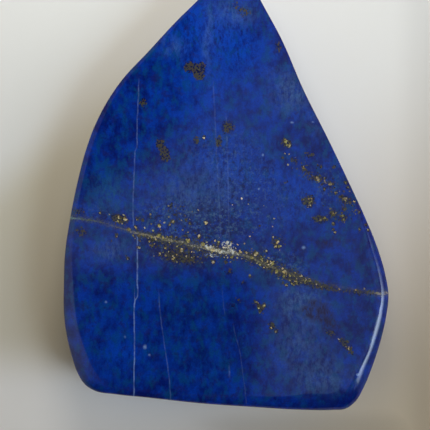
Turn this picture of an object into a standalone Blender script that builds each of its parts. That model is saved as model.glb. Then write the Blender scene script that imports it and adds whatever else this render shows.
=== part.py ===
"""A polished slab of lapis lazuli, one solid stone that lies on its flat back.

Run with: blender --background --python part.py

The stone is pear-shaped in plan: a blunt tip, a long straight right edge, a swelling lower right side,
a nearly straight foot and a curved left edge. Its front is ground flat. Round the front runs a rolled
bevel, narrow at the tip and wide at the two lower corners, which ends at a girdle. From there the wall
curves in under the stone to a flat back, so the back is smaller than the outline.

Units are metres. +Z is up, out of the front. +X is to the right and +Y towards the tip, as the front is
seen. The origin is on the back, under the middle of the outline's box.
"""

import math

import bmesh
import bpy
from mathutils import Vector

MM = 0.001

# Driving dimensions
THICKNESS = 22.0 * MM
SHOULDER_SLOPE = math.radians(7)  # the fall of the bevel's inner part
SHOULDER_BLEND_SHARE = 0.4  # of the shoulder, which turns from level to that slope
MIN_SHOULDER_SHARE = 0.2  # of the bevel
INNER_BEVEL_RADIUS = 4.5 * MM  # where the bevel is wide enough; a narrow bevel is rolled more tightly
OUTER_BEVEL_RADIUS = 2.2 * MM
BEVEL_TURN = math.radians(26)  # the fall of the bevel where the outer radius takes over from the inner one
BEVEL_END = math.radians(60)  # the fall of the bevel where it meets the girdle
GENTLE_ROLL = 1.7  # how many times larger both radii are at the foot
ROLL_START = -36.0 * MM  # along the slab, where they start to grow on the way to the foot
ROLL_END = -50.0 * MM  # and where they have grown
GIRDLE_RADIUS = 0.8 * MM
BACK_EDGE_RADIUS = 3.5 * MM
CORNER_REACH = 9.0 * MM  # the distance along the edge over which the inward moves are evened out
SPINE_TOP = Vector((2.0, 42.0)) * MM  # every section shrinks in plan towards a line from here
SPINE_FOOT = Vector((0.0, -28.0)) * MM  # to here

# The outline at the girdle, clockwise from the tip, in mm from the middle of its box.
# Each row is x, y, the width of the bevel and the mean lean of the wall in degrees.
TIP = [
    (3.2, 60.3, 0.9, 8),
    (5.7, 58.1, 0.8, 8),
]
RIGHT_EDGE = [
    (9.2, 51.2, 0.8, 8),
    (15.0, 40.4, 0.8, 8),
    (20.9, 26.8, 0.8, 9),
    (27.7, 13.2, 0.9, 10),
    (34.2, -0.4, 1.1, 12),
    (38.1, -8.8, 1.9, 13),
]
RIGHT_SWELL = [
    (41.3, -16.7, 3.1, 14),
    (43.2, -23.2, 3.8, 15),
    (44.1, -28.9, 3.7, 15),
    (43.5, -34.5, 3.0, 15),
    (41.9, -41.6, 3.3, 13),
    (39.9, -48.1, 4.5, 12),
]
LOWER_RIGHT_CORNER = [
    (37.4, -54.3, 5.3, 10),
    (35.2, -58.0, 5.7, 9),
    (32.7, -59.9, 5.8, 8),
    (28.9, -60.3, 5.5, 7),
]
FOOT = [
    (21.4, -60.2, 4.2, 6),
    (6.5, -59.3, 3.2, 5),
    (-7.1, -58.3, 2.6, 5),
    (-20.7, -56.8, 2.1, 6),
    (-30.3, -55.8, 2.2, 7),
]
LOWER_LEFT_CORNER = [
    (-35.5, -55.0, 3.0, 9),
    (-38.3, -53.4, 4.2, 10),
    (-40.4, -50.3, 4.6, 11),
    (-41.8, -46.4, 4.4, 12),
]
LEFT_EDGE = [
    (-43.3, -40.2, 3.8, 13),
    (-44.1, -33.5, 3.3, 14),
    (-44.1, -27.0, 2.8, 14),
    (-43.7, -17.2, 2.1, 14),
    (-42.4, -8.6, 1.6, 13),
    (-40.3, 1.8, 1.5, 12),
    (-38.2, 9.9, 1.5, 12),
    (-36.1, 15.9, 1.5, 11),
    (-33.1, 22.1, 1.3, 11),
    (-28.8, 28.7, 1.2, 10),
    (-20.9, 37.3, 1.0, 9),
    (-13.2, 45.6, 0.9, 8),
    (-7.7, 51.0, 0.8, 8),
    (-2.5, 56.7, 0.8, 8),
    (0.4, 59.8, 0.9, 8),
]
OUTLINE = TIP + RIGHT_EDGE + RIGHT_SWELL + LOWER_RIGHT_CORNER + FOOT + LOWER_LEFT_CORNER + LEFT_EDGE

# Falls of an edge's section below outwards and level
UPRIGHT = math.radians(90)
INWARDS = math.radians(180)

# Mesh density
STATIONS_PER_SPAN = 4
BLEND_STEPS = 1
INNER_BEVEL_STEPS = 2
OUTER_BEVEL_STEPS = 3
GIRDLE_STEPS = 3
WALL_STEPS = 3
BACK_STEPS = 4
SHARP_ANGLE = math.radians(40)

# Finish
LAPIS_BLUE = (0.001, 0.021, 0.17, 1.0)
POLISH_ROUGHNESS = 0.1


def clear_scene():
    for thing in list(bpy.data.objects):
        bpy.data.objects.remove(thing, do_unlink=True)


def edge_direction(before, here, after):
    """The direction of the outline at a row, for rows that are unevenly spaced."""
    behind = (here - before).xy.length
    ahead = (after - here).xy.length
    return ((here - before) * (ahead / behind) + (after - here) * (behind / ahead)) / (behind + ahead)


def row_between(start, leaving, end, arriving, share):
    """The row at a share of the Hermite curve from start to end."""
    span = (end - start).xy.length
    return (
        start * (2 * share**3 - 3 * share**2 + 1)
        + leaving * span * (share**3 - 2 * share**2 + share)
        + end * (3 * share**2 - 2 * share**3)
        + arriving * span * (share**3 - share**2)
    )


def outline_stations():
    """Closely spaced rows of x, y, bevel and lean, in metres and radians, on a smooth curve through the
    outline. They are shifted so that the origin is in the middle of their box."""
    rows = [Vector((x * MM, y * MM, bevel * MM, math.radians(lean))) for x, y, bevel, lean in OUTLINE]
    count = len(rows)
    directions = [edge_direction(rows[i - 1], rows[i], rows[(i + 1) % count]) for i in range(count)]
    stations = []
    for i in range(count):
        after = (i + 1) % count
        for step in range(STATIONS_PER_SPAN):
            share = step / STATIONS_PER_SPAN
            stations.append(row_between(rows[i], directions[i], rows[after], directions[after], share))
    middle_x = (min(row.x for row in stations) + max(row.x for row in stations)) / 2
    middle_y = (min(row.y for row in stations) + max(row.y for row in stations)) / 2
    return [row - Vector((middle_x, middle_y, 0, 0)) for row in stations]


def way_to_spine(place):
    """The direction in plan from a place to the nearest point of the spine."""
    spine = SPINE_FOOT - SPINE_TOP
    share = min(1.0, max(0.0, (place - SPINE_TOP).dot(spine) / spine.length_squared))
    return (SPINE_TOP + spine * share - place).normalized()


def inward_moves(stations):
    """For each station, the move in plan that takes the wall in by one unit.

    It points at the spine, so sections never cross, and it is longer where the wall is slanted to that
    direction. The lengths are evened out along the edge, which keeps the corners round."""
    ways = [way_to_spine(here.xy) for here in stations]
    reaches = []
    for i, way in enumerate(ways):
        along = (stations[(i + 1) % len(stations)] - stations[i - 1]).xy.normalized()
        inward = Vector((along.y, -along.x))
        reaches.append(1 / inward.dot(way))
    moves = []
    for here, way in zip(stations, ways):
        weights = [max(0.0, 1 - (other - here).xy.length / CORNER_REACH) for other in stations]
        reach = sum(weight * value for weight, value in zip(weights, reaches)) / sum(weights)
        moves.append(way * reach)
    return moves


def add_arc(section, radius, start, end, steps):
    """Carries a section on round an arc. Its angles are the section's fall below outwards and level."""
    inset, height = section[-1]
    for step in range(1, steps + 1):
        fall = start + (end - start) * step / steps
        out = radius * (math.sin(fall) - math.sin(start))
        down = radius * (math.cos(start) - math.cos(fall))
        section.append((inset - out, height - down))


def roll_at(y):
    """How many times larger the bevel's radii are here, if the bevel is wide enough."""
    share = min(1.0, max(0.0, (ROLL_START - y) / (ROLL_START - ROLL_END)))
    return 1 + (GENTLE_ROLL - 1) * (3 * share**2 - 2 * share**3)


def edge_section(y, bevel, lean):
    """Pairs of inset and height down the stone's edge, from the front's border to the back's border."""
    girdle_width = GIRDLE_RADIUS * (1 - math.sin(BEVEL_END))
    inner_width = INNER_BEVEL_RADIUS * (math.sin(BEVEL_TURN) - math.sin(SHOULDER_SLOPE))
    outer_width = OUTER_BEVEL_RADIUS * (math.sin(BEVEL_END) - math.sin(BEVEL_TURN))
    room = bevel * (1 - MIN_SHOULDER_SHARE) - girdle_width
    roll = min(roll_at(y), room / (inner_width + outer_width))
    shoulder = bevel - girdle_width - roll * (inner_width + outer_width)
    blend = shoulder * SHOULDER_BLEND_SHARE
    section = [(bevel, THICKNESS)]
    add_arc(section, blend / math.sin(SHOULDER_SLOPE), 0.0, SHOULDER_SLOPE, BLEND_STEPS)
    inset, height = section[-1]
    slope_width = shoulder - blend
    section.append((inset - slope_width, height - slope_width * math.tan(SHOULDER_SLOPE)))
    add_arc(section, roll * INNER_BEVEL_RADIUS, SHOULDER_SLOPE, BEVEL_TURN, INNER_BEVEL_STEPS)
    add_arc(section, roll * OUTER_BEVEL_RADIUS, BEVEL_TURN, BEVEL_END, OUTER_BEVEL_STEPS)
    add_arc(section, GIRDLE_RADIUS, BEVEL_END, UPRIGHT, GIRDLE_STEPS)
    wall_height = section[-1][1] - BACK_EDGE_RADIUS * (1 - math.sin(2 * lean))
    foot_fall = UPRIGHT + 2 * lean
    add_arc(section, wall_height / math.sin(2 * lean), UPRIGHT, foot_fall, WALL_STEPS)
    add_arc(section, BACK_EDGE_RADIUS, foot_fall, INWARDS, BACK_STEPS)
    return section


def make_stone_mesh():
    """A loft from the flat front's border, over the bevel and the girdle, to the flat back's border."""
    stations = outline_stations()
    moves = inward_moves(stations)
    form = bmesh.new()
    columns = []
    for station, move in zip(stations, moves):
        column = []
        for inset, height in edge_section(station.y, station.z, station.w):
            place = station.xy + move * inset
            column.append(form.verts.new((place.x, place.y, height)))
        column[-1].co.z = 0.0
        columns.append(column)
    for left, right in zip(columns, columns[1:] + columns[:1]):
        for level in range(len(left) - 1):
            form.faces.new((left[level], right[level], right[level + 1], left[level + 1]))
    form.faces.new([column[0] for column in columns])
    form.faces.new([column[-1] for column in columns])
    bmesh.ops.recalc_face_normals(form, faces=form.faces)
    mesh = bpy.data.meshes.new("lapis_slab")
    form.to_mesh(mesh)
    form.free()
    mesh.shade_smooth()
    mesh.set_sharp_from_angle(angle=SHARP_ANGLE)
    return mesh


def make_lapis_material():
    material = bpy.data.materials.new("lapis")
    material.use_nodes = True
    shader = material.node_tree.nodes["Principled BSDF"]
    shader.inputs["Base Color"].default_value = LAPIS_BLUE
    shader.inputs["Metallic"].default_value = 0.0
    shader.inputs["Roughness"].default_value = POLISH_ROUGHNESS
    return material


def main():
    clear_scene()
    collection = bpy.data.collections.new("lapis_lazuli_slab")
    bpy.context.scene.collection.children.link(collection)
    mesh = make_stone_mesh()
    mesh.materials.append(make_lapis_material())
    stone = bpy.data.objects.new("lapis_slab", mesh)
    collection.objects.link(stone)


main()
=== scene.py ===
"""The looks of the polished lapis lazuli slab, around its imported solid.

Lengths are in mm unless a name says otherwise, and MM turns them into metres. Places and sizes of the
stone's markings are given in pixels of the 430 by 430 photograph, which on_face() turns into mm on the
slab's front.
"""

import math

import bmesh
import bpy
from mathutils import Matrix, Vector, noise


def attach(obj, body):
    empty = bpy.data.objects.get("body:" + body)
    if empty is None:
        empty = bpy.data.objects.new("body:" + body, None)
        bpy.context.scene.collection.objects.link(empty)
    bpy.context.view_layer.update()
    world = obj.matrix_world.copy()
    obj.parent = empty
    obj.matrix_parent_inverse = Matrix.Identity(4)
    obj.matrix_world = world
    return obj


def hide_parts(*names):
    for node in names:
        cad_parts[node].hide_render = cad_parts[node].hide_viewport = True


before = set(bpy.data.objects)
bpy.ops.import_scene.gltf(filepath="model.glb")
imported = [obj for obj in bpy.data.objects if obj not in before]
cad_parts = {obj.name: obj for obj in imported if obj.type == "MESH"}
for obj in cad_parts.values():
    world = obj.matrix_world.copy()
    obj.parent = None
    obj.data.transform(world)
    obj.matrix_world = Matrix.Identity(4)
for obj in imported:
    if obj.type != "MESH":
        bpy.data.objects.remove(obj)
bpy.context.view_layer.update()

MM = 0.001
NODE = "lapis_slab"

# The slab's form, as in the solid
THICKNESS = 22.0
SHOULDER_SLOPE = math.radians(7)
SHOULDER_BLEND_SHARE = 0.4
MIN_SHOULDER_SHARE = 0.2
INNER_BEVEL_RADIUS = 4.5
OUTER_BEVEL_RADIUS = 2.2
BEVEL_TURN = math.radians(26)
BEVEL_END = math.radians(60)
GENTLE_ROLL = 1.7
ROLL_START = -36.0
ROLL_END = -50.0
GIRDLE_RADIUS = 0.8
BACK_EDGE_RADIUS = 3.5
CORNER_REACH = 9.0
SPINE_TOP = Vector((2.0, 42.0))
SPINE_FOOT = Vector((0.0, -28.0))
HEART = Vector((0.5, -12.6))  # the middle of the rings of faces across the front and the back
UPRIGHT = math.radians(90)
INWARDS = math.radians(180)

# The outline at the girdle, clockwise from the tip: x, y, bevel width and mean lean of the wall in degrees
TIP = [
    (3.2, 60.3, 0.9, 8),
    (5.7, 58.1, 0.8, 8),
]
RIGHT_EDGE = [
    (9.2, 51.2, 0.8, 8),
    (15.0, 40.4, 0.8, 8),
    (20.9, 26.8, 0.8, 9),
    (27.7, 13.2, 0.9, 10),
    (34.2, -0.4, 1.1, 12),
    (38.1, -8.8, 1.9, 13),
]
RIGHT_SWELL = [
    (41.3, -16.7, 3.1, 14),
    (43.2, -23.2, 3.8, 15),
    (44.1, -28.9, 3.7, 15),
    (43.5, -34.5, 3.0, 15),
    (41.9, -41.6, 3.3, 13),
    (39.9, -48.1, 4.5, 12),
]
LOWER_RIGHT_CORNER = [
    (37.4, -54.3, 5.3, 10),
    (35.2, -58.0, 5.7, 9),
    (32.7, -59.9, 5.8, 8),
    (28.9, -60.3, 5.5, 7),
]
FOOT = [
    (21.4, -60.2, 4.2, 6),
    (6.5, -59.3, 3.2, 5),
    (-7.1, -58.3, 2.6, 5),
    (-20.7, -56.8, 2.1, 6),
    (-30.3, -55.8, 2.2, 7),
]
LOWER_LEFT_CORNER = [
    (-35.5, -55.0, 3.0, 9),
    (-38.3, -53.4, 4.2, 10),
    (-40.4, -50.3, 4.6, 11),
    (-41.8, -46.4, 4.4, 12),
]
LEFT_EDGE = [
    (-43.3, -40.2, 3.8, 13),
    (-44.1, -33.5, 3.3, 14),
    (-44.1, -27.0, 2.8, 14),
    (-43.7, -17.2, 2.1, 14),
    (-42.4, -8.6, 1.6, 13),
    (-40.3, 1.8, 1.5, 12),
    (-38.2, 9.9, 1.5, 12),
    (-36.1, 15.9, 1.5, 11),
    (-33.1, 22.1, 1.3, 11),
    (-28.8, 28.7, 1.2, 10),
    (-20.9, 37.3, 1.0, 9),
    (-13.2, 45.6, 0.9, 8),
    (-7.7, 51.0, 0.8, 8),
    (-2.5, 56.7, 0.8, 8),
    (0.4, 59.8, 0.9, 8),
]
OUTLINE = TIP + RIGHT_EDGE + RIGHT_SWELL + LOWER_RIGHT_CORNER + FOOT + LOWER_LEFT_CORNER + LEFT_EDGE

# Mesh density of the shown stone
STATIONS_PER_SPAN = 10
BLEND_STEPS = 4
SLOPE_STEPS = 3
INNER_BEVEL_STEPS = 8
OUTER_BEVEL_STEPS = 8
GIRDLE_STEPS = 8
WALL_STEPS = 10
BACK_STEPS = 8
FACE_RINGS = 16
HOLD_WIDTH = 0.25  # a ring this far inside the front's border keeps the front's shading level
WAVE_DEPTH = 0.03  # the front is hand-polished, so it undulates by this much
WAVE_LENGTH = 26.0
SHRINK = 0.9995  # keeps the shown stone inside the solid's box

# The photograph's frame on the slab's front
PHOTO_WIDTH_PX = 430.0
PHOTO_CENTRE_PX = 215.0
FACE_MM_PER_PX = 0.27
CAMERA_X = -3.0
CAMERA_Y = -7.2
CAMERA_HEIGHT = 362.0
CAMERA_NEAR = 10.0
SENSOR_WIDTH = 36.0
REFLECTION_PER_PX = FACE_MM_PER_PX / (CAMERA_HEIGHT - THICKNESS)  # of the tangent from straight up

# How the markings of the front carry on through the stone
SLANT_X = 0.2  # mm to the side for each mm below the front
SLANT_Y = -0.12
DEPTH_WANDER = 0.4  # mm for each mm below the front
WANDER_LENGTH = 24.0
SPOT_DEPTH = 16.0
BELOW_FRONT = (THICKNESS - 1.5, 8.0)  # heights between which the markings of the inner stone come in
GRAIN_STRETCH = 0.22  # of a grain's reach in plan, for each mm of height
LONG_WAY = 1000.0

# The stone's noises: the size in mm, the detail and the roughness
FIBRE_NOISE = (1.5, 3, 0.6)
MOTTLE_NOISE = (4.5, 3, 0.6)
BROAD_NOISE = (17, 2, 0.5)
GRANULE_NOISE = (0.6, 2, 0.65)
SPECK_NOISE = (0.9, 3, 0.65)
VEIN_GRAIN_NOISE = (0.5, 3, 0.7)
# Patches of a noise, and how they come in, as below
TEAL_PATCHES = ((1.9, 4, 0.65), (0.46, 0.64, 0, 0.7))
VIOLET_PATCHES = ((2.2, 4, 0.65), (0.5, 0.66, 0, 0.65))
SPECKLE = ((0.42, 2, 0.7), (0.32, 0.68, 0.88, 1.12))
CLOUD_BREAKS = ((1, 4, 0.7), (0.36, 0.64, 0.15, 1.4))
INNER_CLOUDS = ((13, 3, 0.5), (0.52, 0.75, 0, 0.7))
INNER_SWARMS = ((9, 2, 0.5), (0.58, 0.78, 0, 0.35))
HAIRLINE_BREAKS = ((2.4, 3, 0.7), (0.36, 0.6, 0.35, 1))
CORE_BREAKS = ((1.1, 3, 0.65), (0.4, 0.56, 0.3, 1))
FROST = ((0.6, 3, 0.7), (0.36, 0.64, 0.1, 0.9))
CREAM_PATCHES = ((0.9, 2, 0.6), (0.4, 0.6))
# They are drawn out by squeezing the place, and told apart by moving it
FIBRE_SQUEEZE = (1, 0.4, 0.6)
TEAL_SQUEEZE = (0.8, 0.5, 0.7)
CLOUD_SQUEEZE = (1, 0.5, 0.7)
VIOLET_SHIFT = (40, 0, 0)
SPECK_SHIFT = (0, 40, 0)

# How borders wander: the waves' size and reach in mm, and their detail
PATCH_WANDER = (6, 2, 3)
CLOUD_WANDER = (7, 2.2, 3)
DOT_WANDER = (0.8, 0.2, 2)
HAIRLINE_WANDER = (2.2, 0.16, 2)
VEIN_WANDER = (1.5, 0.4, 3)
CALCITE_WANDER = (1.2, 0.5, 2)
CRUMB_WANDER = (0.4, 0.1, 2)
LOOSE_WANDER = (0.3, 0.14, 2)

# The blue's tone: the weights of its noises, and the tones that are deep and bright
MOTTLE_WEIGHT = 0.8
FIBRE_WEIGHT = 0.45
BROAD_WEIGHT = 0.45
GRANULE_WEIGHT = 0.14
GRANULAR_WEIGHT = 0.6  # more of the granules, where the stone is granular
BLUE_TONES = (0.66, 1.04)

# How markings come in: where they start and are full, and their least and most where it isn't 0 and 1
GRANULAR_FADE = (0, 0.7)
PALE_SPECK_FADE = (0.48, 0.36, 0, 0.8)
DARK_SPECK_FADE = (0.52, 0.62, 0, 0.9)
CLOUD_FULL = 0.75
DOT_FADE = (0.1, 0.9, 0, 0.8)
HAIRLINE_EDGE = (2.2, 0.3)  # of its half width
HAIRLINE_FOOT = (-0.5, 1)  # mm above its lower end
HAIRLINE_HEAD = (0.5, -3)  # mm above its upper end
RIM_EDGE = (1.1, 0.3)  # of the rim's width
RIM_BREAKS = (0.4, 0.56, 0.2, 1)
RIM_TINTS = (0.44, 0.6)
CORE_EDGE = (1.2, 0.5)  # of the vein's half width
CORE_SHADE = (0.62, 0.4, 0, 0.8)
CALCITE_FADE = (-0.05, 0.3, 0, 0.9)
STAIN_FADE = (0.05, 0.8, 0, 0.55)
DARK_CRUMB_FADE = (-0.04, 0.1, 0, 0.85)

# Pyrite and the dark crumbs of altered rock around it
CRUMB_SIZE = 0.38
CRUMBS_OF_PYRITE = 0.22  # of the crumbs, in the thick of a swarm
DARK_CRUMB_LIMITS = (0.75, 0.08)  # the spread and the least of the stain that darkens a crumb
SWARM_STAIN = 1.3  # times a swarm's strength
HALO_WIDTH = 0.6  # of the dark crumbs around a grain that stands out
HALO_STRENGTH = 0.9
GRAIN_RAGGEDNESS = 0.15
LOOSE_SPACING = 0.85
LOOSE_RADII = (0.08, 0.22)
LOOSE_BLUR = 0.06
PALE_METAL_FADE = (0.5, 0.9)
GREEN_METAL_FADE = (0.7, 0.3, 0.0, 0.8)
CRUMB_SHEEN = (0.3, 1.0, 0.07, 1.0)
GRAIN_SHEEN = (0.0, 1.0, 0.3, 1.0)
SIDE_SHEEN = (8.0, 26.0, 1.0, 0.5)  # from the middle of the slab to its right side
PYRITE_METALLIC = 0.7
PYRITE_ROUGHNESS = 0.42
STONE_ROUGHNESS = 0.08
VEIN_ROUGHNESS = 0.25
STONE_IOR = 1.5

# The stone's colours
DEEP_BLUE = (0.0003, 0.0055, 0.10)
BRIGHT_BLUE = (0.0006, 0.028, 0.28)
PALE_BLUE = (0.035, 0.085, 0.25)
TEAL_BLUE = (0.004, 0.052, 0.17)
MIDNIGHT = (0.0015, 0.005, 0.05)
VIOLET = (0.010, 0.009, 0.055)
OLIVE = (0.047, 0.05, 0.018)
BROWN = (0.05, 0.034, 0.014)
SKY_BLUE = (0.0008, 0.042, 0.38)
TEAL_VEIL = (0.001, 0.042, 0.15)
VIOLET_VEIL = (0.006, 0.010, 0.10)
INK = (0.004, 0.004, 0.012)
INK_BLUE = (0.003, 0.005, 0.05)
GREY_TEAL = (0.04, 0.085, 0.18)
# also the colour of the pale dots and of the painted glint
HAIRLINE_DOT_AND_GLINT_BLUE = (0.15, 0.24, 0.50)
RIM_GREY = (0.08, 0.09, 0.11)
CALCITE = (0.60, 0.66, 0.68)
CREAM = (0.50, 0.46, 0.34)
GOLD = (0.86, 0.62, 0.26)
PALE_GOLD = (0.95, 0.82, 0.58)
GREEN_GOLD = (0.50, 0.48, 0.14)
# The dark crumbs' colours, by a random number
CRUMB_COLOURS = [(0.0, INK), (0.2, MIDNIGHT), (0.35, VIOLET), (0.5, OLIVE), (0.85, BROWN), (1.0, OLIVE)]

# Soft clouds in the blue. Each row is a middle x and y, half a width and height, a turn and a strength.
PALE_CLOUDS = [
    (174, 47, 22, 16, 0, 0.5),
    (208, 40, 8, 60, 0, 0.45),
    (235, 12, 34, 22, 0, 0.5),
    (290, 92, 40, 34, -50, 0.55),
    (245, 150, 60, 60, 0, 0.15),
    (185, 195, 60, 50, 0, 0.45),
    (110, 250, 34, 20, 10, 0.5),
    (300, 300, 40, 26, -15, 0.6),
    (300, 345, 52, 60, 0, 0.45),
    (330, 380, 46, 30, 10, 0.4),
    (232, 200, 40, 50, 0, 0.15),
    (330, 120, 24, 40, -60, 0.35),
]
TEAL_CLOUDS = [
    (108, 190, 30, 34, 0, 0.8),
    (190, 300, 60, 50, 0, 0.25),
    (150, 45, 26, 20, 0, 0.3),
    (210, 360, 50, 46, 0, 0.2),
    (265, 275, 40, 20, -15, 0.4),
]
BRIGHT_CLOUDS = [
    (200, 36, 70, 60, 0, 0.6),
    (205, 110, 60, 60, 0, 0.4),
    (250, 60, 36, 60, 25, 0.4),
    (235, 165, 80, 50, 0, 0.5),
    (310, 195, 60, 50, 0, 0.5),
    (265, 215, 50, 34, 0, 0.4),
    (120, 355, 56, 44, 0, 0.5),
    (200, 375, 60, 30, 0, 0.35),
]
# Where the blue is broken up into dark and greyish granules, in the same form
GRANULAR_PATCHES = [
    (185, 222, 62, 36, -10, 1.1),
    (175, 252, 54, 18, -12, 0.9),
    (255, 205, 54, 44, 0, 0.9),
    (228, 160, 64, 50, 0, 0.55),
    (280, 265, 56, 24, -20, 0.7),
    (325, 190, 40, 44, 20, 0.5),
    (105, 215, 40, 20, -10, 0.5),
]
DEEP_CLOUDS = [
    (112, 128, 26, 34, 0, 0.7),
    (238, 335, 32, 56, 5, 0.55),
    (355, 320, 30, 60, 5, 0.5),
    (340, 400, 50, 16, 20, 0.7),
]
VIOLET_STAINS = [
    (265, 205, 44, 36, 0, 0.35),
    (175, 255, 44, 14, -10, 0.8),
    (315, 311, 20, 13, 0, 1.5),
    (331, 325, 18, 12, -45, 1.0),
    (328, 241, 20, 8, 0, 0.7),
    (355, 250, 26, 40, 20, 0.35),
    (232, 122, 24, 18, 0, 0.3),
    (80, 232, 16, 12, 0, 0.6),
]
# The clouds in the order in which they are laid, with their colours and greatest strengths
CLOUD_LAYERS = [
    (DEEP_CLOUDS, DEEP_BLUE, 0.8),
    (BRIGHT_CLOUDS, SKY_BLUE, 0.8),
    (TEAL_CLOUDS, TEAL_BLUE, 0.8),
    (PALE_CLOUDS, PALE_BLUE, 0.7),
    (VIOLET_STAINS, VIOLET, 0.75),
]
# Places of small dark spots, olive-brown in the middle, in the same form
DARK_SPOTS = [
    (190, 67, 8, 7, 0, 2.2),
    (199, 73, 7, 9, 10, 2.4),
    (201, 66, 6, 5, 0, 1.6),
    (143, 103, 5, 7, 0, 1.2),
    (160, 144, 5.5, 8, 0, 1.7),
    (165, 154, 6, 10, 10, 1.9),
    (228, 127, 8, 9, 0, 1.5),
    (219, 142, 5, 7, 0, 1.2),
    (196, 140, 4, 5, 0, 1.0),
    (238, 6, 16, 8, 0, 0.4),
    (245, 13, 10, 7, 0, 0.5),
    (278, 46, 4, 9, 20, 0.7),
    (309, 155, 6, 4, -20, 0.7),
    (283, 158, 4, 3, 0, 0.7),
    (294, 160, 4, 3, 0, 0.6),
    (287, 143, 7, 6, -45, 0.9),
    (306, 170, 7, 3, -30, 0.6),
    (287, 182, 4, 3, 0, 0.6),
    (317, 178, 6, 4, 0, 0.7),
    (331, 184, 5, 4, 0, 0.6),
    (345, 199, 9, 5, -25, 1.0),
    (309, 201, 8, 8, 0, 1.0),
    (320, 219, 9, 5, -10, 1.0),
    (333, 214, 5, 5, 0, 0.7),
    (343, 218, 5, 4, 0, 0.6),
    (119, 219, 11, 6, -15, 1.1),
    (79, 211, 8, 5, 0, 0.7),
    (81, 232, 9, 6, 0, 0.8),
    (150, 241, 5, 4, 0, 0.9),
    (152, 236, 20, 5, -12, 0.6),
    (116, 236, 4, 4, 0, 0.6),
    (111, 241, 6, 3, 0, 0.5),
    (128, 258, 4, 4, 0, 0.7),
    (178, 257, 26, 8, -12, 0.7),
    (230, 272, 7, 5, 0, 0.8),
    (243, 283, 5, 4, 0, 0.7),
    (238, 300, 5, 5, 0, 0.5),
    (254, 302, 4, 4, 0, 0.6),
    (232, 305, 4, 4, 0, 0.6),
    (260, 308, 4, 7, 25, 0.8),
    (272, 326, 4, 6, 25, 0.7),
    (330, 333, 8, 5, -40, 0.9),
    (345, 343, 8, 5, -50, 0.9),
    (349, 350, 5, 4, 0, 0.9),
    (290, 276, 26, 6, -17, 0.7),
    (320, 286, 30, 5, -12, 0.8),
    (360, 292, 30, 3.5, -5, 0.8),
    (262, 262, 22, 6, -20, 0.5),
]
# Where white calcite frosts the stone, in the same form
CALCITE_PATCHES = [
    (228, 246, 9, 7, -30, 0.8),
    (216, 250.5, 13, 4.5, -20, 0.85),
    (233, 252, 9, 4, -25, 0.65),
    (205, 246, 7, 4, -20, 0.65),
    (211, 255, 8, 2.5, -10, 0.7),
]
# Where small pyrite grains are common, in the same form
PYRITE_SWARMS = [
    (119, 219, 12, 7, -15, 0.5),
    (152, 239, 34, 9, -14, 0.42),
    (186, 246, 34, 13, -12, 0.5),
    (180, 257, 30, 9, -10, 0.4),
    (180, 209, 24, 9, 0, 0.2),
    (222, 252, 30, 12, -12, 0.5),
    (258, 260, 26, 10, -18, 0.6),
    (287, 273, 28, 10, -20, 0.6),
    (278, 242, 10, 9, 0, 0.5),
    (315, 284, 34, 6, -14, 0.3),
    (360, 292, 30, 4, -6, 0.1),
    (309, 202, 9, 9, 0, 0.5),
    (320, 219, 10, 6, -10, 0.5),
    (338, 215, 18, 10, -35, 0.3),
    (322, 182, 34, 14, -35, 0.25),
    (348, 204, 24, 12, -55, 0.28),
    (300, 165, 30, 14, -35, 0.16),
    (287, 143, 8, 6, -45, 0.5),
    (260, 308, 5, 9, 25, 0.4),
    (272, 326, 5, 8, 25, 0.4),
    (345, 343, 14, 6, -45, 0.35),
    (180, 225, 70, 24, -10, 0.1),
    (250, 225, 60, 40, 0, 0.03),
]
# Grains that stand out, by size
LARGE_GRAINS_PX = [
    (158.8, 235.3), (187.5, 240.5), (203, 244.5), (213, 250.5), (252, 257), (272, 263.5), (285, 272),
    (317.5, 178.5), (345, 198.5), (333, 213.5), (256, 253.5), (276.5, 271.5),
]
MEDIUM_GRAINS_PX = [
    (129, 229.3), (135.5, 227.5), (159, 225.3), (206, 222.5), (124.5, 219), (118, 217.5), (213.3, 262),
    (232, 257), (247, 252.5), (297, 283.5), (293, 284), (309, 280.5), (276, 246.3), (279, 246.5),
    (278, 241.5), (286, 141.5), (289.5, 145), (303.5, 168.5), (324.5, 218), (310, 198.5), (330.5, 184),
    (168.7, 243), (181.5, 250.3), (149.3, 241.4), (199, 236.5), (218.5, 243.5), (172.7, 221.5),
    (343.5, 219), (333.5, 223.5), (342, 216), (267.5, 261), (240, 252), (262, 259.5), (305, 281),
    (290, 275.5), (264, 306), (276, 331), (349, 349),
]
SMALL_GRAINS_PX = [
    (126, 220.5), (100, 213), (137.5, 219), (142.5, 220.5), (168.8, 225), (171.3, 204.5), (186, 220.5),
    (190.5, 223.5), (185.5, 235.5), (284, 277), (273.5, 237), (266, 251), (157, 240), (152, 245.5),
    (166, 247.5), (166, 256), (187, 256.5), (192, 257.5), (195, 257), (139, 247.7), (128, 258.7),
    (116.5, 236), (321, 166.5), (333.5, 166.5), (324.5, 178), (324.5, 189), (335.5, 193.5), (346, 182.5),
    (347.5, 188), (354.5, 201.5), (359.5, 212), (367, 224.5), (369, 230.5), (303.5, 200), (311, 201.5),
    (310, 206), (316, 218), (321.5, 220.5), (337, 212.5), (344.5, 209), (333, 229.5), (335, 232.5),
    (359.5, 229.5), (312, 155), (200, 70), (204, 138), (256, 302), (260, 311), (286, 285), (321, 287),
    (283, 283), (301, 276), (340, 341), (352, 353), (196.5, 141), (250, 276), (211, 256), (226, 262),
]
# with their radii in mm
GRAINS = [(LARGE_GRAINS_PX, 0.5), (MEDIUM_GRAINS_PX, 0.33), (SMALL_GRAINS_PX, 0.19)]
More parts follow.
